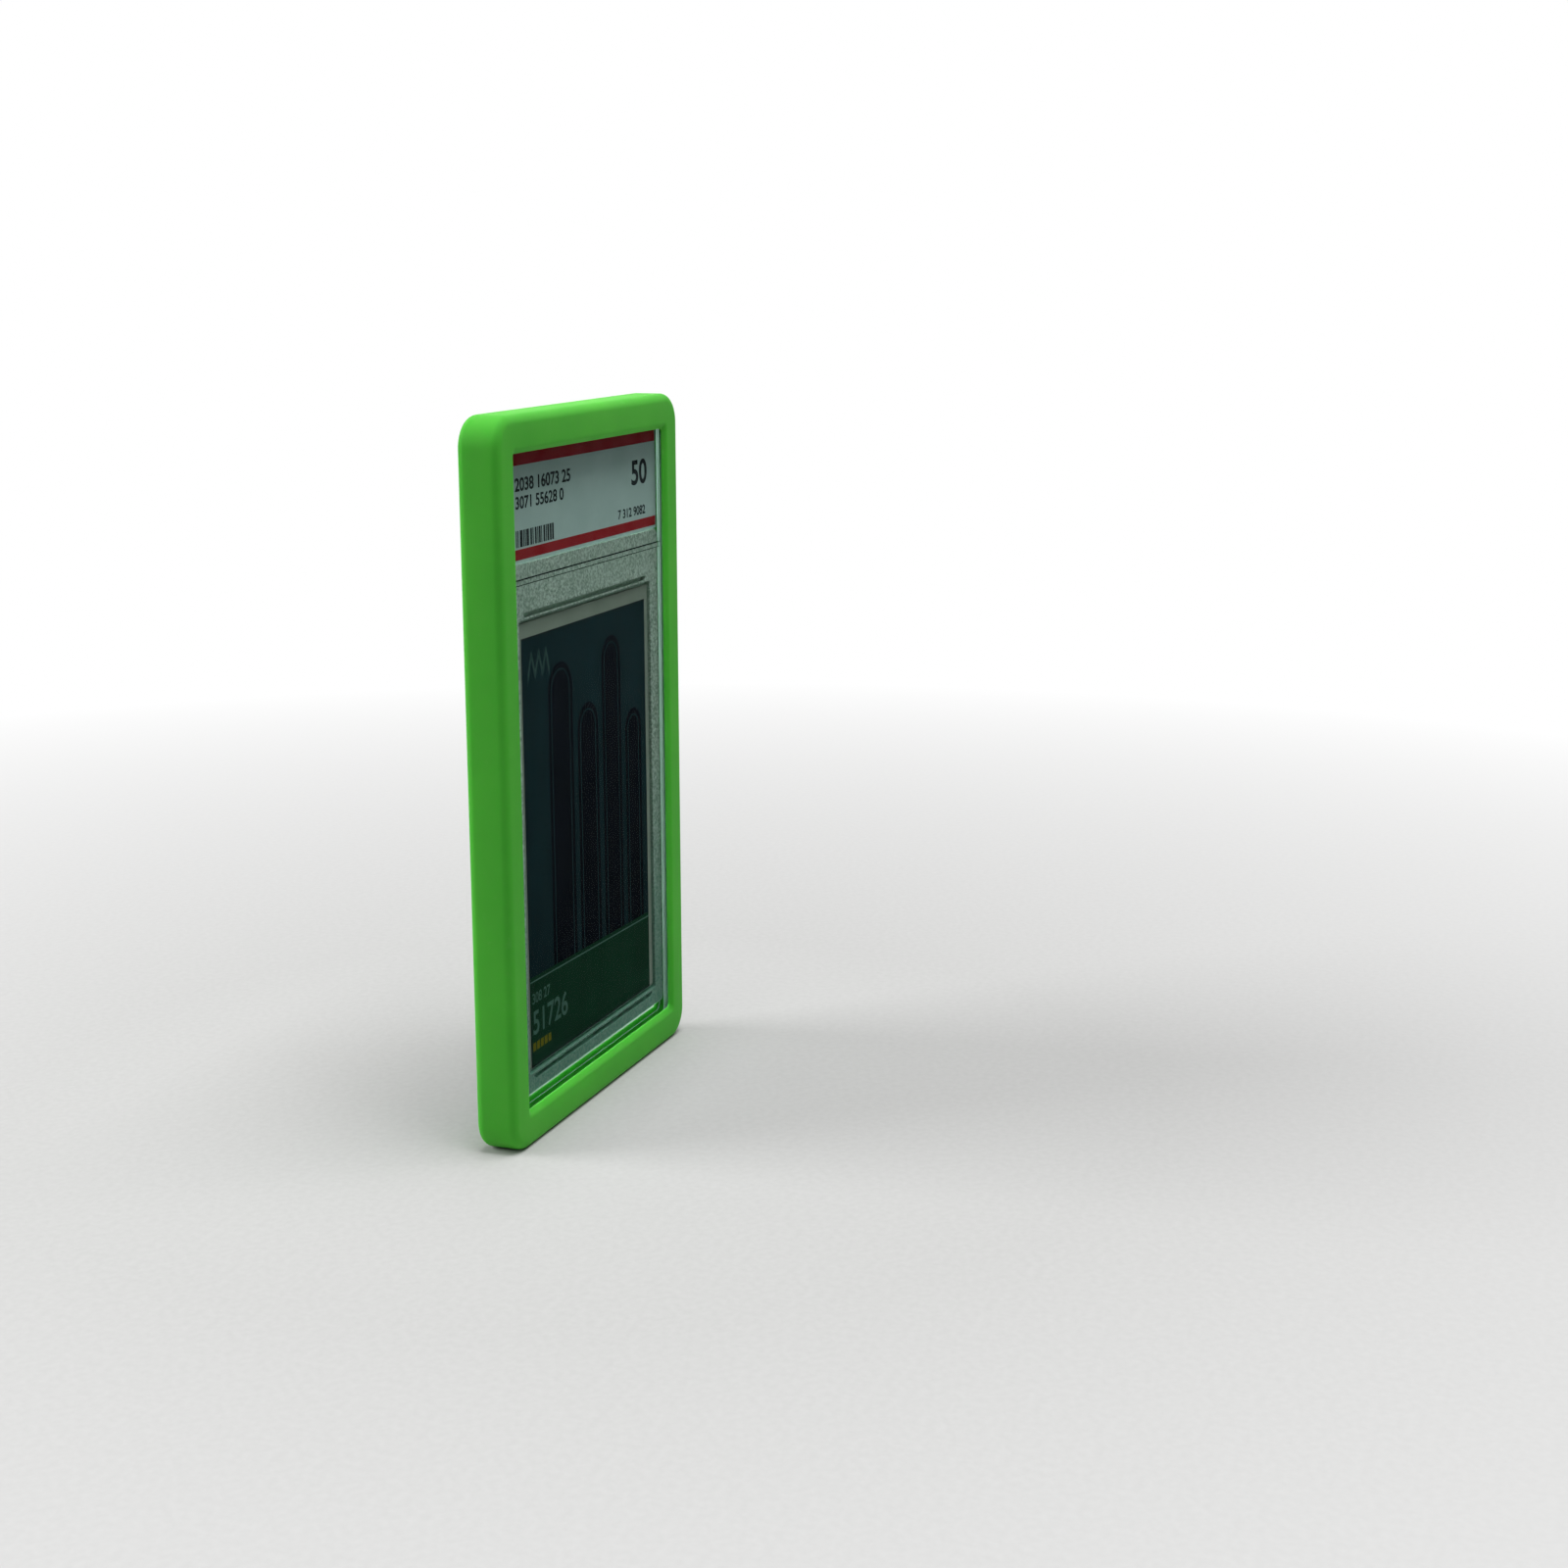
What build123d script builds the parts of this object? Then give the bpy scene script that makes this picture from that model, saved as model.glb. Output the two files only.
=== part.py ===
"""Bumper protector around a graded card slab.

A one-piece soft silicone frame grips the edge of a clear plastic slab. The slab is two welded shells
that hold a printed label above a frosted frame, and a trading card in the frame's opening.

X is the width, Y the thickness with the front at -Y, and Z the height. The origin is the middle of the
bottom edge that the protector stands on. All sizes are in millimetres.
"""
import os

from build123d import *

# Trading card, and the frosted frame that it lies in
card_width = 63.5
card_height = 88.9
card_thickness = 0.4
card_corner = 0.4
card_side_clearance = 0.15
card_end_clearance = 0.75
card_cover_gap = 0.6
card_seat_play = 0.05
card_ledge = 1.2
frame_thickness = 1.6
frame_side_rail = 4.1
frame_top_rail = 10.7
frame_bottom_rail = 3.65
frame_corner = 1.5

# Blind slots in the frame's front above and below the card, each with its long side up
slot_height = 1.05
slot_depth = 1.1
slot_end_margin = 5.6
slot_end_slant = 1.4
slot_from_card = 0.3
slot_corner = 0.25

# Grade label, clamped between the shells above the frame
label_side_margin = 4.0
label_height = 21.0
label_thickness = 0.4
label_above_frame = 0.25
label_corner = 0.5

# Slab: two clear shells around the frame and the label, with a raised rim and a stacking bar on each face
slab_side_margin = 4.2
slab_top_margin = 3.96
slab_bottom_margin = 5.94
shell_panel = 2.4
slab_corner = 3.2
slab_edge_round = 0.6
well_clearance = 0.1
well_depth_play = 0.05
rim_width = 3.0
rim_height = 0.3
rim_corner = 1.6
bar_height = 1.25
bar_under_label = 2.8
bar_end_gap = 1.2
bar_corner = 0.4
bar_edge_slope = 0.22

# Weld seam: a tongue on the front shell in a groove of the back shell
tongue_width = 0.8
tongue_height = 0.7
tongue_inset = 1.7
tongue_inner_corner = 0.7
seam_clearance = 0.05
seam_gap = 0.05

# Bumper: walls around the slab's edge, a lip over each face with a sloped inner edge, and a bottom that has
# settled flat under the weight
bumper_wall = 3.2
grip_clearance = 0.1
pocket_corner = 3.0
lip_thickness = 1.1
lip_reach = 4.0
lip_slope_width = 1.0
lip_slope_depth = 0.8
window_corner = 1.0
outer_edge_round = 1.8
base_settling = 0.12

# Sizes that follow from the ones above
opening_width = card_width + 2 * card_side_clearance
opening_height = card_height + 2 * card_end_clearance
frame_width = opening_width + 2 * frame_side_rail
frame_height = opening_height + frame_top_rail + frame_bottom_rail
slab_width = frame_width + 2 * slab_side_margin
slab_height = slab_bottom_margin + frame_height + label_above_frame + label_height + slab_top_margin
slab_thickness = frame_thickness + 2 * shell_panel
label_width = slab_width - 2 * label_side_margin
pocket_width = slab_width + 2 * grip_clearance
pocket_height = slab_height + 2 * grip_clearance
pocket_thickness = slab_thickness + 2 * grip_clearance
bumper_width = pocket_width + 2 * bumper_wall
bumper_height = pocket_height + 2 * bumper_wall
bumper_thickness = pocket_thickness + 2 * lip_thickness
window_width = slab_width - 2 * lip_reach
window_height = slab_height - 2 * lip_reach

# Heights above the floor, and places in the thickness
slab_bottom = bumper_wall + grip_clearance
frame_bottom = slab_bottom + slab_bottom_margin
card_bottom = frame_bottom + frame_bottom_rail + card_end_clearance
card_top = card_bottom + card_height
label_bottom = frame_bottom + frame_height + label_above_frame
card_front = -frame_thickness / 2 + card_cover_gap
card_back = card_front + card_thickness
ledge_front = card_back + card_seat_play


def facing_plane(y, centre_z):
    """The upright plane at y that outlines of the object's width and height are drawn on."""
    return Plane(origin=(0, y, centre_z), x_dir=(1, 0, 0), z_dir=(0, 1, 0))


def plate(width, height, bottom, front, back, corner):
    """An upright plate with round corners, from y = front to y = back, standing on z = bottom."""
    outline = RectangleRounded(width, height, corner)
    return extrude(facing_plane(front, bottom + height / 2) * outline, back - front)


def edges_on_face(solid, y):
    """The edges of a solid that lie in the upright plane at y."""
    return solid.edges().filter_by_position(Axis.Y, y, y)


def make_bumper():
    """The one-piece silicone frame, with a pocket for the slab and a window in each lip."""
    half = bumper_thickness / 2
    body = plate(bumper_width, bumper_height + base_settling, -base_settling, -half, half,
                 pocket_corner + bumper_wall)
    body = fillet(edges_on_face(body, -half) + edges_on_face(body, half), min(outer_edge_round, bumper_wall))
    body -= Pos(0, 0, -base_settling / 2) * Box(bumper_width, bumper_thickness, base_settling)
    pocket_half = pocket_thickness / 2
    body -= plate(pocket_width, pocket_height, bumper_wall, -pocket_half, pocket_half, pocket_corner)
    body -= plate(window_width, window_height, slab_bottom + lip_reach, -half, half, window_corner)
    for side in (-1, 1):
        body -= window_slope(side * half, side * (half - lip_slope_depth))
    return body


def window_slope(face_y, deep_y):
    """The tapered mouth of a window, from the bumper's face down to its straight inner edge."""
    wide = RectangleRounded(window_width + 2 * lip_slope_width, window_height + 2 * lip_slope_width,
                            window_corner + lip_slope_width)
    narrow = RectangleRounded(window_width, window_height, window_corner)
    centre_z = bumper_height / 2
    return loft([facing_plane(face_y, centre_z) * wide, facing_plane(deep_y, centre_z) * narrow], ruled=True)


def make_shell(side):
    """One clear half of the slab, without its seam: side -1 is the front shell, and side 1 the back shell."""
    half = slab_thickness / 2
    low, high = sorted((side * seam_gap / 2, side * half))
    shell = plate(slab_width, slab_height, slab_bottom, low, high, slab_corner)
    shell = fillet(edges_on_face(shell, side * half), min(slab_edge_round, rim_width / 2))
    low, high = sorted((side * (half - rim_height), side * half))
    sunk_width = slab_width - 2 * rim_width
    shell -= plate(sunk_width, slab_height - 2 * rim_width, slab_bottom + rim_width, low, high, rim_corner)
    bar = plate(sunk_width - 2 * bar_end_gap, bar_height, label_bottom - bar_under_label - bar_height,
                low, high, min(bar_corner, bar_height / 3))
    shell += chamfer(edges_on_face(bar, side * half), bar_edge_slope)
    shell -= inner_pocket(side, frame_width, frame_height, frame_bottom, frame_thickness, frame_corner)
    shell -= inner_pocket(side, label_width, label_height, label_bottom, label_thickness, label_corner)
    return shell


def inner_pocket(side, width, height, bottom, thickness, corner):
    """One shell's half of the space for an inner piece, with the clearance around the piece."""
    low, high = sorted((0, side * (thickness / 2 + well_depth_play)))
    return plate(width + 2 * well_clearance, height + 2 * well_clearance, bottom - well_clearance, low, high,
                 corner)


def seam_ring(inset, width, depth, inner_corner):
    """A ring along the weld seam, from the front shell's seam face towards the back."""
    ring_width = slab_width - 2 * inset
    ring_height = slab_height - 2 * inset
    start = -seam_gap / 2
    ring = plate(ring_width, ring_height, slab_bottom + inset, start, depth, inner_corner + width)
    return ring - plate(ring_width - 2 * width, ring_height - 2 * width, slab_bottom + inset + width, start,
                        depth, inner_corner)


def make_front_shell():
    """The front shell, with the tongue of the weld seam."""
    return make_shell(-1) + seam_ring(tongue_inset, tongue_width, tongue_height, tongue_inner_corner)


def make_back_shell():
    """The back shell, with the groove that the tongue is welded into."""
    groove = seam_ring(tongue_inset - seam_clearance, tongue_width + 2 * seam_clearance,
                       tongue_height + seam_clearance, tongue_inner_corner - seam_clearance)
    return make_shell(1) - groove


def card_slot(low_z):
    """A slot in the frame's front, from its short side at low_z up to its long side, with slanted ends."""
    high_z = low_z + slot_height
    long_half = frame_width / 2 - slot_end_margin
    short_half = long_half - slot_end_slant
    corners = [(-long_half, high_z), (long_half, high_z), (short_half, low_z), (-short_half, low_z)]
    upright = Plane(origin=(0, -frame_thickness / 2, 0), x_dir=(1, 0, 0), z_dir=(0, -1, 0))
    slot = extrude(upright * make_face(Polyline(*corners, close=True)), -slot_depth)
    return fillet(slot.edges().filter_by(Axis.Y), min(slot_corner, slot_height / 4))


def make_card_frame():
    """The frosted frame below the label, with the card's stepped opening and the two slots."""
    half = frame_thickness / 2
    body = plate(frame_width, frame_height, frame_bottom, -half, half, frame_corner)
    body -= plate(opening_width, opening_height, card_bottom - card_end_clearance, -half, ledge_front,
                  card_corner)
    body -= plate(card_width - 2 * card_ledge, card_height - 2 * card_ledge, card_bottom + card_ledge,
                  ledge_front, half, card_corner)
    slot_gap = card_end_clearance + slot_from_card
    body -= card_slot(card_top + slot_gap)
    body -= card_slot(card_bottom - slot_gap - slot_height)
    return body


def make_trading_card():
    """The card, lying on the frame's ledge."""
    return plate(card_width, card_height, card_bottom, card_front, card_back, card_corner)


def make_grade_label():
    """The paper label, printed on both sides."""
    half = label_thickness / 2
    return plate(label_width, label_height, label_bottom, -half, half, label_corner)


pieces = {
    "bumper": make_bumper(),
    "slab_front_shell": make_front_shell(),
    "slab_back_shell": make_back_shell(),
    "card_frame": make_card_frame(),
    "trading_card": make_trading_card(),
    "grade_label": make_grade_label(),
}

os.makedirs("parts", exist_ok=True)
for name, piece in pieces.items():
    export_step(piece, f"parts/{name}.step")
    print(name, "volume", round(piece.volume, 1), "size", piece.bounding_box().size)
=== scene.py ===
import math
import random

import bmesh
import bpy
from mathutils import Matrix, Quaternion, Vector


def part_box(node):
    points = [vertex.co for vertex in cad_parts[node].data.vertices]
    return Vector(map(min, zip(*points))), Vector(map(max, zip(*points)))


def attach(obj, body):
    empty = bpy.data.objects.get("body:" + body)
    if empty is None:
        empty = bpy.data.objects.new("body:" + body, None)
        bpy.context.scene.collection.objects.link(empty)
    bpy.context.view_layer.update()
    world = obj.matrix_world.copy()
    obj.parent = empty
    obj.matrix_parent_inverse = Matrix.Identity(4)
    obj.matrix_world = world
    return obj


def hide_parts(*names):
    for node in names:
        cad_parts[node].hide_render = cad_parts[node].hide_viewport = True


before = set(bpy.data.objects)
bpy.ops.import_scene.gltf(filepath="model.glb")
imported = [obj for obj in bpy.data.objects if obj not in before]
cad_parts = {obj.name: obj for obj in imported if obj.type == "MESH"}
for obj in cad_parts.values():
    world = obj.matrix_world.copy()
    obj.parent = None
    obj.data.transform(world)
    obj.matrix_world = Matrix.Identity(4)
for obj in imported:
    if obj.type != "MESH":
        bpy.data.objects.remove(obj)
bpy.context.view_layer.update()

# Grade label. A slip of coated paper stands above the card, clamped between the two clear shells.
# It is offset printed on both sides: red bands, plain numbers and tally bars on the front, and a
# dark blue panel with a tiled patch on the back.
MM = 0.001
FRONT = -1
BACK = 1
# Printed shapes stand out of the paper by the ink's thickness and reach into it by the bite
ink_thickness = 0.02 * MM
ink_bite = 0.01 * MM
paper_gloss = 0.002
type_size_to_height = 1.38
label_low, label_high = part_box("grade_label")


def start_finish(name):
    """A new node material, as the material, its tree and its main shader."""
    material = bpy.data.materials.new(name)
    material.use_nodes = True
    tree = material.node_tree
    return material, tree, tree.nodes["Principled BSDF"]


def speckle(tree, size, detail=3.0, stretch=(1, 1, 1)):
    """Noise of about that grain size, fixed to the piece. Returns its value socket."""
    place = tree.nodes.new("ShaderNodeTexCoord")
    scale = tree.nodes.new("ShaderNodeMapping")
    scale.inputs["Scale"].default_value = stretch
    noise = tree.nodes.new("ShaderNodeTexNoise")
    noise.inputs["Scale"].default_value = 1 / size
    noise.inputs["Detail"].default_value = detail
    tree.links.new(place.outputs["Object"], scale.inputs["Vector"])
    tree.links.new(scale.outputs["Vector"], noise.inputs["Vector"])
    return noise.outputs["Fac"]


def spread(tree, value, low, high, start=0.3, end=0.7):
    """A value moved from the range start..end, by default that of noise, to low..high and held inside it."""
    node = tree.nodes.new("ShaderNodeMapRange")
    node.inputs["From Min"].default_value = start
    node.inputs["From Max"].default_value = end
    node.inputs["To Min"].default_value = low
    node.inputs["To Max"].default_value = high
    tree.links.new(value, node.inputs["Value"])
    return node.outputs["Result"]


def blend_colours(tree, share, first, second):
    """The first colour where share is 0 and the second where it is 1. Each is a colour or a socket."""
    node = tree.nodes.new("ShaderNodeMix")
    node.data_type = "RGBA"
    first_input, second_input = node.inputs[6], node.inputs[7]
    for socket, colour in ((first_input, first), (second_input, second)):
        if isinstance(colour, bpy.types.NodeSocket):
            tree.links.new(colour, socket)
        else:
            socket.default_value = (*colour, 1)
    tree.links.new(share, node.inputs[0])
    return node.outputs[2]


def roughen(tree, shader, height, depth):
    """Bump of that depth from a height value."""
    node = tree.nodes.new("ShaderNodeBump")
    node.inputs["Distance"].default_value = depth
    tree.links.new(height, node.inputs["Height"])
    tree.links.new(node.outputs["Normal"], shader.inputs["Normal"])


def papery(tree, shader, colour, roughness, grain, depth):
    """Joins a colour, a roughness and the bump of a grain to a shader, with the weak gloss of paper."""
    tree.links.new(colour, shader.inputs["Base Color"])
    tree.links.new(roughness, shader.inputs["Roughness"])
    shader.inputs["Specular IOR Level"].default_value = paper_gloss
    roughen(tree, shader, grain, depth)


def coated_paper(name, colour, stain):
    """Coated paper with faint fibres and clouds of a slightly darker tone."""
    material, tree, shader = start_finish(name)
    fibres = speckle(tree, 0.35 * MM, 4.0, (1, 1, 0.35))
    clouds = speckle(tree, 9 * MM, 2.0)
    toned = blend_colours(tree, spread(tree, clouds, 0, 0.6), colour, stain)
    toned = blend_colours(tree, spread(tree, fibres, 0, 0.35), toned, stain)
    papery(tree, shader, toned, spread(tree, fibres, 0.42, 0.55), fibres, 0.006 * MM)
    return material


def printing_ink(name, colour, worn):
    """Ink on paper: slightly uneven in tone, with pin specks where it is worn."""
    material, tree, shader = start_finish(name)
    cover = speckle(tree, 0.22 * MM, 5.0)
    clouds = speckle(tree, 6 * MM, 2.0)
    toned = blend_colours(tree, spread(tree, clouds, 0, 0.5), colour, worn)
    toned = blend_colours(tree, spread(tree, cover, 0, 0.5, 0.62, 0.85), toned, worn)
    papery(tree, shader, toned, spread(tree, cover, 0.35, 0.5), cover, 0.004 * MM)
    return material


def close_mesh(name, shape):
    """The mesh of a closed shape, with its faces turned outwards."""
    bmesh.ops.recalc_face_normals(shape, faces=shape.faces)
    mesh = bpy.data.meshes.new(name)
    shape.to_mesh(mesh)
    shape.free()
    return mesh


def new_piece(name, mesh, material, body):
    """Puts a mesh in the scene as a piece that rides on a body."""
    piece = bpy.data.objects.new(name, mesh)
    bpy.context.scene.collection.objects.link(piece)
    mesh.materials.clear()
    mesh.materials.append(material)
    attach(piece, body)
    return piece


def print_shapes(name, outlines, sheet, ink, layer=0):
    """Flat printed shapes on one side of a sheet, each a list of (x, z) points. Later layers lie higher."""
    face, side, slot = sheet
    base = face - side * ink_bite
    top = face + side * ink_thickness * (1 + layer)
    shape = bmesh.new()
    for outline in outlines:
        low = [shape.verts.new((x, base, z)) for x, z in outline]
        high = [shape.verts.new((x, top, z)) for x, z in outline]
        shape.faces.new(low)
        shape.faces.new(high)
        for i in range(len(outline)):
            j = (i + 1) % len(outline)
            shape.faces.new((low[i], low[j], high[j], high[i]))
    new_piece(name, close_mesh(name, shape), ink, "slab")


def block(left, right, bottom, top):
    """The outline of an upright rectangle."""
    return [(left, bottom), (right, bottom), (right, top), (left, top)]


def print_numbers(name, rows, sheet, ink, wide=1.0, bold=0.02, layer=0):
    """Plain numbers in one piece, one row for each (text, left end, bottom, height)."""
    face, side, slot = sheet
    shape = bmesh.new()
    for text, left, bottom, height in rows:
        curve = bpy.data.curves.new(name, "FONT")
        curve.body = text
        curve.size = type_size_to_height * height
        curve.offset = bold * height
        curve.extrude = (ink_thickness * (1 + layer) + ink_bite) / 2
        writer = bpy.data.objects.new(name, curve)
        mesh = bpy.data.meshes.new_from_object(writer)
        middle = face + side * (curve.extrude - ink_bite)
        mesh.transform(Matrix(((-side * wide, 0, 0, left),
                               (0, 0, side, middle),
                               (0, 1, 0, bottom),
                               (0, 0, 0, 1))))
        shape.from_mesh(mesh)
        bpy.data.objects.remove(writer)
        bpy.data.curves.remove(curve)
        bpy.data.meshes.remove(mesh)
    new_piece(name, close_mesh(name, shape), ink, "slab")


def dress(node, material):
    """Gives a carried-over part its finish."""
    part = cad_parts[node]
    part.data.materials.clear()
    part.data.materials.append(material)


# The label's white paper is given a grey teal: painted shade all over it, with a painted green bounce light.
label_paper = coated_paper("label_paper_finish", (0.52, 0.6, 0.58), (0.43, 0.51, 0.49))
dress("grade_label", label_paper)
label_front = (label_low.y, FRONT, "label_paper")
label_back = (label_high.y, BACK, "label_paper")

red_ink = printing_ink("label_red_ink", (0.33, 0.012, 0.018), (0.42, 0.05, 0.055))
black_ink = printing_ink("label_black_ink", (0.012, 0.014, 0.016), (0.06, 0.065, 0.07))
blue_ink = printing_ink("label_blue_ink", (0.012, 0.022, 0.085), (0.03, 0.05, 0.14))
pale_ink = printing_ink("label_pale_ink", (0.68, 0.72, 0.72), (0.5, 0.54, 0.55))

label_edge = 0.3 * MM
top_band = 2.3 * MM
lower_band = 2.0 * MM
lower_band_rise = 0.56 * MM
band_left = label_low.x + label_edge
band_right = label_high.x - label_edge
top_band_top = label_high.z - label_edge
lower_band_bottom = label_low.z + lower_band_rise
red_bands = [
    block(band_left, band_right, top_band_top - top_band, top_band_top),
    block(band_left, band_right, lower_band_bottom, lower_band_bottom + lower_band),
]
print_shapes("label_red_bands", red_bands, label_front, red_ink)

number_left = label_low.x + 4.5 * MM
number_rows = [
    ("2038 16073 25", number_left, label_high.z - 7.4 * MM, 2.5 * MM),
    ("3071 55628 0", number_left, label_high.z - 10.75 * MM, 2.35 * MM),
    ("50", label_high.x - 13 * MM, label_high.z - 10.9 * MM, 5.1 * MM),
    ("7 312 9082", label_high.x - 20 * MM, label_low.z + 3.6 * MM, 1.9 * MM),
]
print_numbers("label_numbers", number_rows, label_front, black_ink, wide=1.2, bold=0.03)

# Widths of the bars and of the gaps between them, in millimetres, drawn at random
tally_widths = (0.4, 0.4, 0.75, 1.1)
tally_gaps = (0.28, 0.34, 0.6)
tally_height = 3.2 * MM
tally_bottom = label_low.z + 2.95 * MM
tally_end = label_low.x + 21.5 * MM
random.seed(4)
tallies = []
edge = number_left
while edge < tally_end:
    width = random.choice(tally_widths) * MM
    tallies.append(block(edge, edge + width, tally_bottom, tally_bottom + tally_height))
    edge += width + random.choice(tally_gaps) * MM
print_shapes("label_tally_bars", tallies, label_front, black_ink)

panel_margin = 0.6 * MM
strip_height = 4.2 * MM
blue_panel = block(label_low.x + panel_margin, label_high.x - panel_margin,
                   label_low.z + strip_height, label_high.z - panel_margin)
print_shapes("label_back_panel", [blue_panel], label_back, blue_ink)

patch = 11 * MM
patch_left = label_low.x + 5 * MM
patch_bottom = label_low.z + strip_height + 2.4 * MM
pale_patch = block(patch_left, patch_left + patch, patch_bottom, patch_bottom + patch)
print_shapes("label_back_patch", [pale_patch], label_back, pale_ink, layer=0.5)

tile_count = 9
tile_share = 0.5
tile_pitch = patch / (tile_count + 2)
tile = 0.96 * tile_pitch
tiles = []
for column in range(tile_count):
    for line in range(tile_count):
        if random.random() < tile_share:
            x = patch_left + (column + 1) * tile_pitch
            z = patch_bottom + (line + 1) * tile_pitch
            tiles.append(block(x, x + tile, z, z + tile))
print_shapes("label_back_tiles", tiles, label_back, blue_ink, layer=1)

back_number_rows = [("30627185", label_high.x - 6 * MM, label_low.z + 1 * MM, 2.3 * MM)]
print_numbers("label_back_numbers", back_number_rows, label_back, black_ink)

# White rules beside the patch, each with its margin to the label's end, from the lowest up
rule_left = patch_left + patch + 6 * MM
rule_margins = (7 * MM, 12 * MM, 7 * MM, 12 * MM)
rule_pitch = 2.9 * MM
rule_height = 1.1 * MM
back_rules = []
for line, margin in enumerate(rule_margins):
    z = patch_bottom + line * rule_pitch
    back_rules.append(block(rule_left, label_high.x - margin, z, z + rule_height))
print_shapes("label_back_rules", back_rules, label_back, pale_ink, layer=0.5)

# Trading card. Stiff printed board lies on the ledge of the frosted frame, picture side to the front.
# The picture is a plain pattern of dark upright arches over a slanted green band, inside a pale border.
# The back has three framed panels of plain rules.
card_low, card_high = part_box("trading_card")
# The card's off-white board and border are given a dim grey: painted shade all over the card.
card_board = coated_paper("card_board_finish", (0.3, 0.32, 0.27), (0.24, 0.25, 0.21))
dress("trading_card", card_board)
card_front = (card_low.y, FRONT, "card_stock")
card_back = (card_high.y, BACK, "card_stock")


def place_along(tree, axis, kind="Object"):
    """How far along an axis a point of the piece lies, or for Normal, how far its face looks that way."""
    place = tree.nodes.new("ShaderNodeTexCoord")
    parts = tree.nodes.new("ShaderNodeSeparateXYZ")
    tree.links.new(place.outputs[kind], parts.inputs["Vector"])
    return parts.outputs[axis]


def picture_ink(name, top_colour, low_colour):
    """Ink that changes from one colour at the card's top to another at its foot, with a printed grain."""
    material, tree, shader = start_finish(name)
    height = spread(tree, place_along(tree, "Z"), 0, 1, card_low.z, card_high.z)
    toned = blend_colours(tree, height, low_colour, top_colour)
    clouds = speckle(tree, 7 * MM, 3.0, (1, 1, 0.5))
    shade = [0.55 * part for part in low_colour]
    toned = blend_colours(tree, spread(tree, clouds, 0, 0.55), toned, shade)
    dots = speckle(tree, 0.18 * MM, 3.0)
    toned = blend_colours(tree, spread(tree, dots, 0, 0.25), toned, top_colour)
    papery(tree, shader, toned, spread(tree, dots, 0.26, 0.4), dots, 0.003 * MM)
    return material


border_side = 1.75 * MM
border_top = 3.0 * MM
border_foot = 0.05 * MM
keyline = 0.28 * MM
left = card_low.x + border_side
right = card_high.x - border_side
foot = card_low.z + border_foot
head = card_high.z - border_top
print_shapes("card_keyline", [block(left, right, foot, head)], card_front, black_ink)

picture_left = left + keyline
picture_right = right - keyline
picture_foot = foot + keyline
picture_head = head - keyline
teal_ink = picture_ink("card_teal_ink", (0.009, 0.027, 0.033), (0.006, 0.018, 0.022))
teal_field = block(picture_left, picture_right, picture_foot, picture_head)
print_shapes("card_picture", [teal_field], card_front, teal_ink, layer=0.5)


def arch(centre, half, bottom, top, steps=14):
    """The outline of an upright bar with a round top."""
    curve = []
    for i in range(steps + 1):
        angle = math.pi * i / steps
        curve.append((centre + half * math.cos(angle), top - half + half * math.sin(angle)))
    return [(centre - half, bottom), (centre + half, bottom)] + curve


def arch_line(centre, half, bottom, top, width):
    """The outline of a line of that width, bent round the inside of an upright bar with a round top."""
    outer = arch(centre, half, bottom, top)[1:]
    inner = arch(centre, half - width, bottom, top - width)[1:]
    return outer + [(centre - half, bottom), (centre - half + width, bottom)] + inner[:0:-1] + inner[:1]


dark_ink = picture_ink("card_dark_ink", (0.003, 0.004, 0.009), (0.002, 0.003, 0.006))
line_ink = printing_ink("card_line_ink", (0.016, 0.04, 0.045), (0.01, 0.028, 0.032))
thin_line = 0.3 * MM
line_inset = 1.3 * MM
arch_foot = foot + 14 * MM
# Middle, half width and top of each arch, as shares of the picture's width and height
arch_shares = ((0.285, 0.095, 0.92), (0.5, 0.085, 0.8), (0.7, 0.08, 0.94), (0.885, 0.07, 0.74))
arches = []
arch_lines = []
for middle_share, half_share, top_share in arch_shares:
    middle = left + middle_share * (right - left)
    half = half_share * (right - left)
    arch_top = foot + top_share * (head - foot)
    arches.append(arch(middle, half, arch_foot, arch_top))
    arch_lines.append(arch_line(middle, half - line_inset, arch_foot, arch_top - line_inset, thin_line))
print_shapes("card_arches", arches, card_front, dark_ink, layer=1)
print_shapes("card_arch_lines", arch_lines, card_front, line_ink, layer=1.3)

green_ink = picture_ink("card_green_ink", (0.008, 0.044, 0.022), (0.007, 0.036, 0.018))
band_left_top = card_low.z + 18.4 * MM
band_right_top = card_low.z + 17 * MM
green_band = [(picture_left, picture_foot), (picture_right, picture_foot),
              (picture_right, band_right_top), (picture_left, band_left_top)]
print_shapes("card_band", [green_band], card_front, green_ink, layer=1.5)

mint_ink = printing_ink("card_mint_ink", (0.08, 0.15, 0.12), (0.055, 0.11, 0.085))
amber_ink = printing_ink("card_amber_ink", (0.17, 0.14, 0.012), (0.12, 0.1, 0.012))
card_number_left = left + 0.9 * MM
card_number_rows = [
    ("308 27", card_number_left, card_low.z + 12.9 * MM, 2.2 * MM),
    ("51726", card_number_left, card_low.z + 6.6 * MM, 4.9 * MM),
]
print_numbers("card_numbers", card_number_rows, card_front, mint_ink, wide=0.98, layer=2)

square_count = 5
square_width = 1.3 * MM
square_pitch = 1.75 * MM
square_bottom = card_low.z + 3.2 * MM
square_top = card_low.z + 4.9 * MM
amber_squares = []
for i in range(square_count):
    corner = card_number_left + i * square_pitch
    amber_squares.append(block(corner, corner + square_width, square_bottom, square_top))
print_shapes("card_amber_squares", amber_squares, card_front, amber_ink, layer=2)


def stroke(start, end, width):
    """The outline of a printed line between two (x, z) points."""
    start = Vector(start)
    end = Vector(end)
    side = (end - start).orthogonal().normalized() * width / 2
    return [tuple(start + side), tuple(end + side), tuple(end - side), tuple(start - side)]


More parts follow.
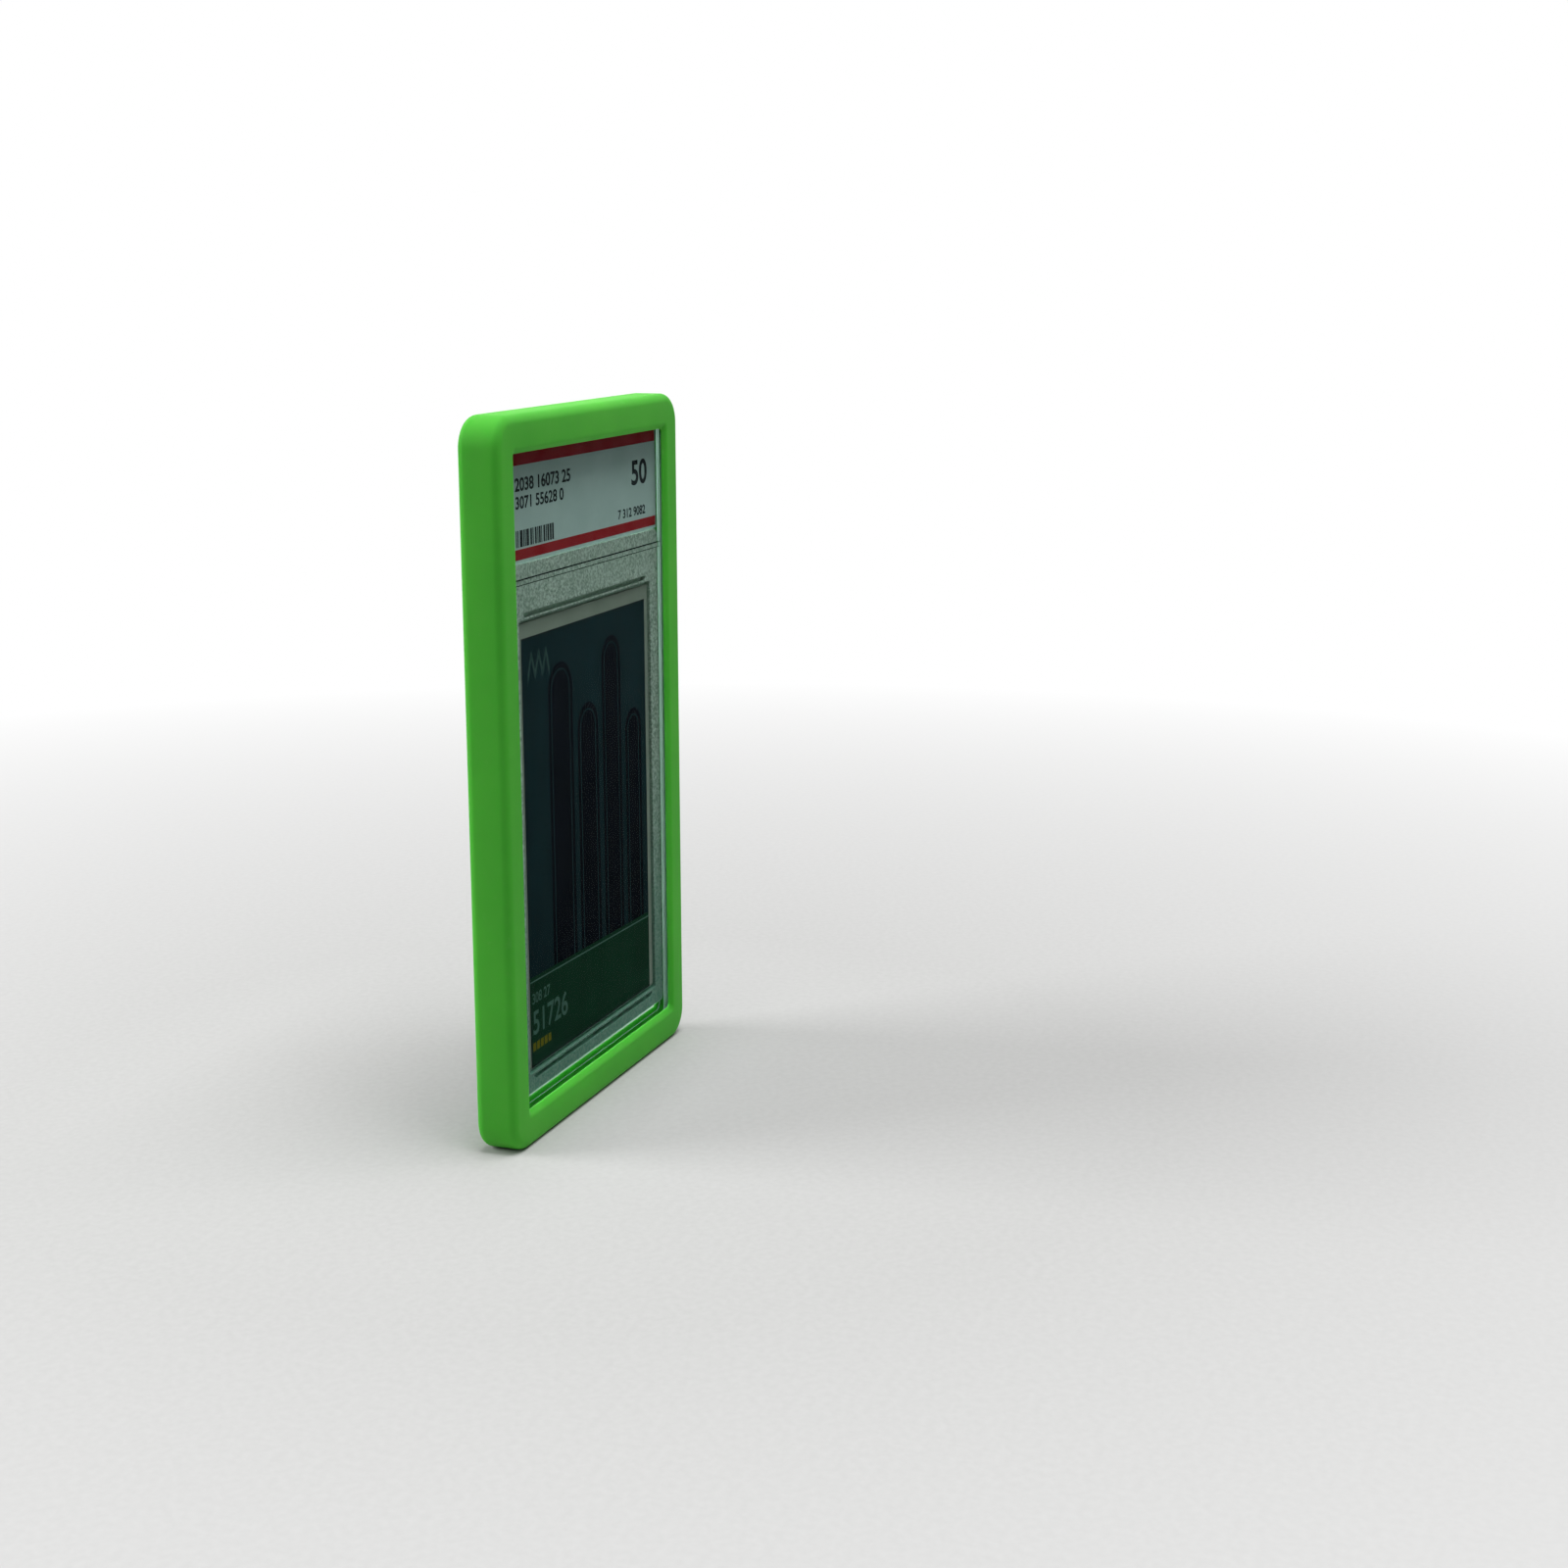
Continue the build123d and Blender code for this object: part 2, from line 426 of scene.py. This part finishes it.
band_line_drop = 0.9 * MM
band_line = stroke((picture_left, band_left_top - band_line_drop),
                   (picture_right, band_right_top - band_line_drop), thin_line)
print_shapes("card_band_line", [band_line], card_front, mint_ink, layer=2)

badge_ink = printing_ink("card_badge_ink", (0.045, 0.085, 0.08), (0.03, 0.06, 0.055))
badge_x = left + 2.6 * MM
badge_z = head - 7.6 * MM
badge_stroke = 0.32 * MM
badge_drops = (0, 1.1)
zigzag = [(0, 0), (1.7, 4.6), (3.3, 0.4), (5, 4.6), (6.6, 0.4), (8.3, 4.6), (9.8, 0)]
badge = []
for (x, z), (next_x, next_z) in zip(zigzag, zigzag[1:]):
    for drop in badge_drops:
        start = (badge_x + x * MM, badge_z + (z - drop) * MM)
        end = (badge_x + next_x * MM, badge_z + (next_z - drop) * MM)
        badge.append(stroke(start, end, badge_stroke))
print_shapes("card_badge", badge, card_front, badge_ink, layer=2)

brown_ink = picture_ink("card_brown_ink", (0.06, 0.028, 0.02), (0.045, 0.02, 0.016))
rust_ink = picture_ink("card_rust_ink", (0.19, 0.055, 0.035), (0.14, 0.04, 0.028))
cream_ink = printing_ink("card_cream_ink", (0.55, 0.5, 0.4), (0.42, 0.37, 0.29))
back_margin = 0.3 * MM
brown_border = block(card_low.x + back_margin, card_high.x - back_margin,
                     card_low.z + back_margin, card_high.z - back_margin)
print_shapes("card_back_border", [brown_border], card_back, brown_ink)

panel_left = card_low.x + 4 * MM
panel_right = card_high.x - 4 * MM
panel_frame = 0.35 * MM
rule_inset = 3 * MM
rule_thickness = 0.45 * MM
rule_step = 2.1 * MM
rules_below_top = 3.4 * MM
rules_above_foot = 2.4 * MM
# Foot and top of each panel, as shares of the card's height
panel_shares = ((0.05, 0.40), (0.44, 0.62), (0.66, 0.95))
frames = []
panels = []
rules = []
for low_share, high_share in panel_shares:
    low = card_low.z + low_share * (card_high.z - card_low.z)
    high = card_low.z + high_share * (card_high.z - card_low.z)
    frames.append(block(panel_left, panel_right, low, high))
    panels.append(block(panel_left + panel_frame, panel_right - panel_frame,
                        low + panel_frame, high - panel_frame))
    z = high - rules_below_top
    while z > low + rules_above_foot:
        rules.append(block(panel_left + rule_inset, panel_right - rule_inset, z, z + rule_thickness))
        z -= rule_step
print_shapes("card_back_frames", frames, card_back, cream_ink, layer=0.5)
print_shapes("card_back_panels", panels, card_back, rust_ink, layer=1)
print_shapes("card_back_rules", rules, card_back, cream_ink, layer=1.5)

# Card frame. A frosted plastic frame fills the slab around the card, with a slot above and below it.
# It is injection moulded with a fine spark-eroded grain, and lets a soft light through. Its steps and slots
# get a painted shade, and its foot a painted green bounce light and shade from the silicone.
plastic_ior = 1.49
recess_shade_start = 0.05 * MM
recess_shade_end = 0.6 * MM
painted_bounce_reach = 60 * MM
frame_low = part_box("card_frame")[0]
material, tree, shader = start_finish("frosted_frame_finish")
grains = speckle(tree, 0.5 * MM, 5.0)
flow = speckle(tree, 14 * MM, 2.0, (1, 1, 0.3))
toned = blend_colours(tree, spread(tree, grains, 0, 1, 0.36, 0.64), (0.86, 0.9, 0.82), (0.2, 0.27, 0.2))
toned = blend_colours(tree, spread(tree, flow, 0, 0.3), toned, (0.5, 0.55, 0.5))
# Steps and slots darken towards their floors: painted shade in the recesses.
painted_recess_shade = spread(tree, place_along(tree, "Y"), 0, 0.75, frame_low.y + recess_shade_start, frame_low.y + recess_shade_end)
toned = blend_colours(tree, painted_recess_shade, toned, (0.2, 0.3, 0.22))
# Greener and darker towards the foot: painted green bounce light and painted shade from the silicone.
painted_green_bounce = spread(tree, place_along(tree, "Z"), 0.75, 0, frame_low.z, frame_low.z + painted_bounce_reach)
toned = blend_colours(tree, painted_green_bounce, toned, (0.11, 0.3, 0.22))
tree.links.new(toned, shader.inputs["Base Color"])
tree.links.new(spread(tree, grains, 0.38, 0.62), shader.inputs["Roughness"])
shader.inputs["Transmission Weight"].default_value = 0.4
shader.inputs["IOR"].default_value = plastic_ior
shader.inputs["Specular IOR Level"].default_value = 0.2
roughen(tree, shader, grains, 0.05 * MM)
dress("card_frame", material)

# Slab shells. Two halves of clear moulded plastic close over the frame and the label, and are welded
# together at a tongue and groove all round. A raised rim and a bar on each face keep stacked slabs apart.
mirror_share = 0.015
wall_frost = 0.35


def combine(tree, operation, first, second):
    """The larger of two values for the operation MAXIMUM, or their product for MULTIPLY."""
    node = tree.nodes.new("ShaderNodeMath")
    node.operation = operation
    tree.links.new(first, node.inputs[0])
    tree.links.new(second, node.inputs[1])
    return node.outputs["Value"]


def facing_front(tree):
    """1 on faces that look to the front or back, 0.7 on slanted edges, and 0 on the walls of steps."""
    node = tree.nodes.new("ShaderNodeMath")
    node.operation = "ABSOLUTE"
    tree.links.new(place_along(tree, "Y", "Normal"), node.inputs[0])
    return node.outputs["Value"]


def mix_shaders(tree, share, first, second):
    """The first shader where share is 0 and the second where it is 1."""
    node = tree.nodes.new("ShaderNodeMixShader")
    tree.links.new(share, node.inputs["Fac"])
    tree.links.new(first, node.inputs[1])
    tree.links.new(second, node.inputs[2])
    return node.outputs["Shader"]


def clear_plastic(name):
    """Clear plastic with faint flow lines, fine handling marks, faint frost and mild painted shade on its
    walls, and dark painted shade on its slanted edges.

    Light that is caught inside is reflected whole, and the lamps' light goes through to what is behind.
    """
    material, tree, shader = start_finish(name)
    tree.nodes.remove(shader)
    marks = speckle(tree, 0.6 * MM, 6.0, (1, 1, 3))
    flow = speckle(tree, 11 * MM, 2.0)
    facing = facing_front(tree)
    painted_edge_shade = spread(tree, facing, 1, 0, 0.8, 0.9)
    wall = spread(tree, facing, 1, 0, 0.2, 0.5)

    clear = tree.nodes.new("ShaderNodeBsdfRefraction")
    clear.inputs["IOR"].default_value = plastic_ior
    tint_and_painted_shade = blend_colours(tree, spread(tree, flow, 0, 1), (0.9, 0.95, 0.94), (0.87, 0.93, 0.915))
    # Slanted step edges are tinted dark: painted shade, drawn as dark lines at the steps.
    tint_and_painted_shade = blend_colours(tree, painted_edge_shade, tint_and_painted_shade, (0.2, 0.3, 0.24))
    # Walls let a little less through: a mild painted shade.
    tint_and_painted_shade = blend_colours(tree, wall, tint_and_painted_shade, (0.78, 0.88, 0.82))
    tree.links.new(tint_and_painted_shade, clear.inputs["Color"])
    tree.links.new(spread(tree, marks, 0, 0.03, 0.5, 0.85), clear.inputs["Roughness"])
    roughen(tree, clear, flow, 0.02 * MM)

    mirror = tree.nodes.new("ShaderNodeBsdfGlossy")
    # Walls mirror less, in a green grey: painted shade on their reflection.
    mirror_tint_and_painted_shade = blend_colours(tree, wall, (0.93, 0.97, 0.96), (0.5, 0.68, 0.56))
    tree.links.new(mirror_tint_and_painted_shade, mirror.inputs["Color"])
    tree.links.new(spread(tree, marks, 0.02, 0.1, 0.5, 0.85), mirror.inputs["Roughness"])
    fresnel = tree.nodes.new("ShaderNodeFresnel")
    fresnel.inputs["IOR"].default_value = plastic_ior
    outside = spread(tree, fresnel.outputs["Fac"], 0, mirror_share, 0, 1)
    caught_inside = spread(tree, fresnel.outputs["Fac"], 0, 1, 0.97, 0.99)
    mirrored = combine(tree, "MAXIMUM", outside, caught_inside)
    body = mix_shaders(tree, mirrored, clear.outputs["BSDF"], mirror.outputs["BSDF"])

    frost = tree.nodes.new("ShaderNodeBsdfDiffuse")
    frost.inputs["Color"].default_value = (0.72, 0.84, 0.79, 1)
    body = mix_shaders(tree, spread(tree, wall, 0, wall_frost, 0, 1), body, frost.outputs["BSDF"])

    open_to_lamps = tree.nodes.new("ShaderNodeBsdfTransparent")
    open_to_lamps.inputs["Color"].default_value = (0.9, 0.95, 0.94, 1)
    rays = tree.nodes.new("ShaderNodeLightPath")
    surface = mix_shaders(tree, rays.outputs["Is Shadow Ray"], body, open_to_lamps.outputs["BSDF"])
    tree.links.new(surface, tree.nodes["Material Output"].inputs["Surface"])
    return material


clear_finish = clear_plastic("clear_shell_finish")
dress("slab_front_shell", clear_finish)
dress("slab_back_shell", clear_finish)

# Bumper. One moulding of soft silicone is stretched over the slab's edge and holds it with a lip over
# each face. Each lip slopes down to a thin edge at the window. The bottom settles flat under the weight,
# so its outline starts a little lower and is cut off at the floor.
bumper_low, bumper_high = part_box("bumper")
slab_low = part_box("slab_front_shell")[0]
outer_corner = 6.2 * MM
least_corner = 1.0 * MM
settling = 0.12 * MM
# The section of the bumper: the wall, the crease where a lip starts to slope, and the window's edge are
# measured in from the outline, and the pocket from the middle of the thickness
grip_clearance = 0.1 * MM
wall = slab_low.x - bumper_low.x - grip_clearance
crease = 6.3 * MM
window = 7.3 * MM
slope_depth = 0.8 * MM
pocket_half = 3.3 * MM
outer_round = 1.8 * MM
crease_round = 1.2 * MM
lip_front_round = 0.15 * MM
lip_back_round = 0.12 * MM
pocket_round = 0.3 * MM


def fillet_corner(before, corner, after, radius, steps):
    """Points of an arc that rounds a corner of a profile."""
    back = (before - corner).normalized()
    ahead = (after - corner).normalized()
    half = back.angle(ahead) / 2
    centre = corner + (back + ahead).normalized() * radius / math.sin(half)
    start = corner + back * radius / math.tan(half) - centre
    end = corner + ahead * radius / math.tan(half) - centre
    sweep = start.angle_signed(end)
    points = []
    for i in range(steps + 1):
        turn = -sweep * i / steps
        points.append(centre + Matrix.Rotation(turn, 2) @ start)
    return points


# Corners of the section's back half: inset from the outline and place in the thickness, radius, steps
face_y = bumper_high.y
back_corners = [
    (Vector((0, face_y)), outer_round, 10),
    (Vector((crease, face_y)), crease_round, 6),
    (Vector((window, face_y - slope_depth)), lip_front_round, 4),
    (Vector((window, pocket_half)), lip_back_round, 3),
    (Vector((wall, pocket_half)), pocket_round, 3),
]
section_corners = list(back_corners)
for corner, radius, steps in reversed(back_corners):
    section_corners.append((Vector((corner.x, -corner.y)), radius, steps))
section = []
for i, (corner, radius, steps) in enumerate(section_corners):
    before = section_corners[i - 1][0]
    after = section_corners[(i + 1) % len(section_corners)][0]
    section += fillet_corner(before, corner, after, radius, steps)


def loop_points(inset, corner_steps=12, side_steps=10):
    """Points of the rounded rectangle that lies that far in from the bumper's outline."""
    radius = max(outer_corner - inset, least_corner)
    left = bumper_low.x + inset + radius
    right = bumper_high.x - inset - radius
    low = bumper_low.z + inset + radius
    if inset < crease / 2:
        low -= settling
    high = bumper_high.z - inset - radius
    points = []
    centres = ((right, high), (left, high), (left, low), (right, low))
    for quarter, (x, z) in enumerate(centres):
        for step in range(corner_steps + 1):
            angle = math.pi / 2 * (quarter + step / corner_steps)
            points.append(Vector((x + radius * math.cos(angle), 0, z + radius * math.sin(angle))))
        next_x, next_z = centres[(quarter + 1) % 4]
        last = points[-1]
        angle = math.pi / 2 * (quarter + 1)
        first_next = Vector((next_x + radius * math.cos(angle), 0, next_z + radius * math.sin(angle)))
        for step in range(1, side_steps):
            points.append(last.lerp(first_next, step / side_steps))
    return points


shape = bmesh.new()
rings = []
for inset, y in section:
    rings.append([shape.verts.new((p.x, y, max(p.z, bumper_low.z))) for p in loop_points(inset)])
for i, ring in enumerate(rings):
    next_ring = rings[(i + 1) % len(rings)]
    for j in range(len(ring)):
        k = (j + 1) % len(ring)
        shape.faces.new((ring[j], ring[k], next_ring[k], next_ring[j]))
bumper_mesh = close_mesh("bumper_silicone", shape)
for face in bumper_mesh.polygons:
    face.use_smooth = True

material, tree, shader = start_finish("green_silicone_finish")
clouds = speckle(tree, 22 * MM, 3.0)
skin = speckle(tree, 0.12 * MM, 3.0)
dust = speckle(tree, 2.2 * MM, 8.0)
toned = blend_colours(tree, spread(tree, clouds, 0, 1), (0.083, 0.44, 0.043), (0.068, 0.39, 0.037))
toned = blend_colours(tree, spread(tree, dust, 0, 0.08, 0.66, 0.8), toned, (0.3, 0.55, 0.25))
tree.links.new(toned, shader.inputs["Base Color"])
tree.links.new(spread(tree, skin, 0.5, 0.62), shader.inputs["Roughness"])
shader.inputs["IOR"].default_value = 1.41
shader.inputs["Subsurface Weight"].default_value = 1.0
shader.inputs["Subsurface Radius"].default_value = (0.6, 1.0, 0.7)
shader.inputs["Subsurface Scale"].default_value = 2.5 * MM
shader.inputs["Specular IOR Level"].default_value = 0.06
roughen(tree, shader, skin, 0.008 * MM)
bumper = new_piece("bumper_silicone", bumper_mesh, material, "bumper")
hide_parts("bumper")

# Floor. A plain pale table takes the soft shadow under the object. Away from the object it turns to the
# plain white of the room, for what is seen of it and not for the light that it gives.
floor_half = 6.0
white_from = 0.12
white_to = 0.5
floor_mesh = bpy.data.meshes.new("floor")
floor_corners = [(-floor_half, -floor_half, 0), (floor_half, -floor_half, 0),
                 (floor_half, floor_half, 0), (-floor_half, floor_half, 0)]
floor_mesh.from_pydata(floor_corners, [], [(0, 1, 2, 3)])
floor = bpy.data.objects.new("floor", floor_mesh)
bpy.context.scene.collection.objects.link(floor)


def seen_directly(tree):
    """1 for rays from the camera, a mirror or a clear piece, and 0 for light that falls on the object."""
    rays = tree.nodes.new("ShaderNodeLightPath")
    seen = rays.outputs["Is Camera Ray"]
    for name in ("Is Glossy Ray", "Is Transmission Ray"):
        seen = combine(tree, "MAXIMUM", seen, rays.outputs[name])
    straight = spread(tree, rays.outputs["Diffuse Depth"], 1, 0, 0, 1)
    return combine(tree, "MULTIPLY", seen, straight)


material, tree, shader = start_finish("pale_floor_finish")
fine = speckle(tree, 1.5 * MM, 3.0)
toned = blend_colours(tree, spread(tree, fine, 0, 1), (0.5, 0.5, 0.495), (0.47, 0.47, 0.465))
tree.links.new(toned, shader.inputs["Base Color"])
shader.inputs["Roughness"].default_value = 0.7
shader.inputs["Specular IOR Level"].default_value = 0.2
place = tree.nodes.new("ShaderNodeTexCoord")
distance = tree.nodes.new("ShaderNodeVectorMath")
distance.operation = "LENGTH"
tree.links.new(place.outputs["Object"], distance.inputs[0])
far = spread(tree, distance.outputs["Value"], 0, 1, white_from, white_to)
share = combine(tree, "MULTIPLY", far, seen_directly(tree))
white = tree.nodes.new("ShaderNodeEmission")
surface = mix_shaders(tree, share, shader.outputs["BSDF"], white.outputs["Emission"])
tree.links.new(surface, tree.nodes["Material Output"].inputs["Surface"])
floor_mesh.materials.append(material)

# Light. One large softbox hangs above and a little to the front, and a smaller one stands behind on the
# left. The room is plain white where it is seen, and gives only a faint light.
room_light = 0.14
aim = Vector((0, 0, 0.07))


def soft_lamp(name, place, size, power):
    """A square softbox that points at the middle of the object."""
    lamp_data = bpy.data.lights.new(name, "AREA")
    lamp_data.shape = "SQUARE"
    lamp_data.size = size
    lamp_data.energy = power
    lamp = bpy.data.objects.new(name, lamp_data)
    lamp.location = place
    lamp.rotation_mode = "QUATERNION"
    lamp.rotation_quaternion = (aim - Vector(place)).to_track_quat("-Z", "Y")
    bpy.context.scene.collection.objects.link(lamp)


soft_lamp("top_softbox", (0, -0.24, 1.27), size=0.8, power=18.5)
soft_lamp("left_softbox", (-0.45, 1.0, 0.65), size=0.7, power=11.5)

world = bpy.data.worlds.new("white_room")
world.use_nodes = True
tree = world.node_tree
strength = spread(tree, seen_directly(tree), room_light, 1, 0, 1)
tree.links.new(strength, tree.nodes["Background"].inputs["Strength"])
tree.nodes["Background"].inputs["Color"].default_value = (1, 1, 1, 1)
bpy.context.scene.world = world

# Camera. It looks down a little at the narrow left side and sees the front face at a slant. The heading
# is turned from +X towards +Y, and the pitch down from level.
camera_place = (-0.45129, -0.20642, 0.17142)
camera_heading = math.radians(19.791)
camera_pitch = math.radians(-12.14)
camera_roll = math.radians(-0.161)
camera_data = bpy.data.cameras.new("camera")
camera_data.sensor_width = 36
camera_data.lens = 56.612
camera_data.clip_start = 0.01
camera = bpy.data.objects.new("camera", camera_data)
camera.location = camera_place
level = math.cos(camera_pitch)
gaze = Vector((math.cos(camera_heading) * level, math.sin(camera_heading) * level, math.sin(camera_pitch)))
camera.rotation_mode = "QUATERNION"
camera.rotation_quaternion = gaze.to_track_quat("-Z", "Y") @ Quaternion((0, 0, 1), camera_roll)
bpy.context.scene.collection.objects.link(camera)
bpy.context.scene.camera = camera
bpy.context.scene.view_settings.view_transform = "Standard"
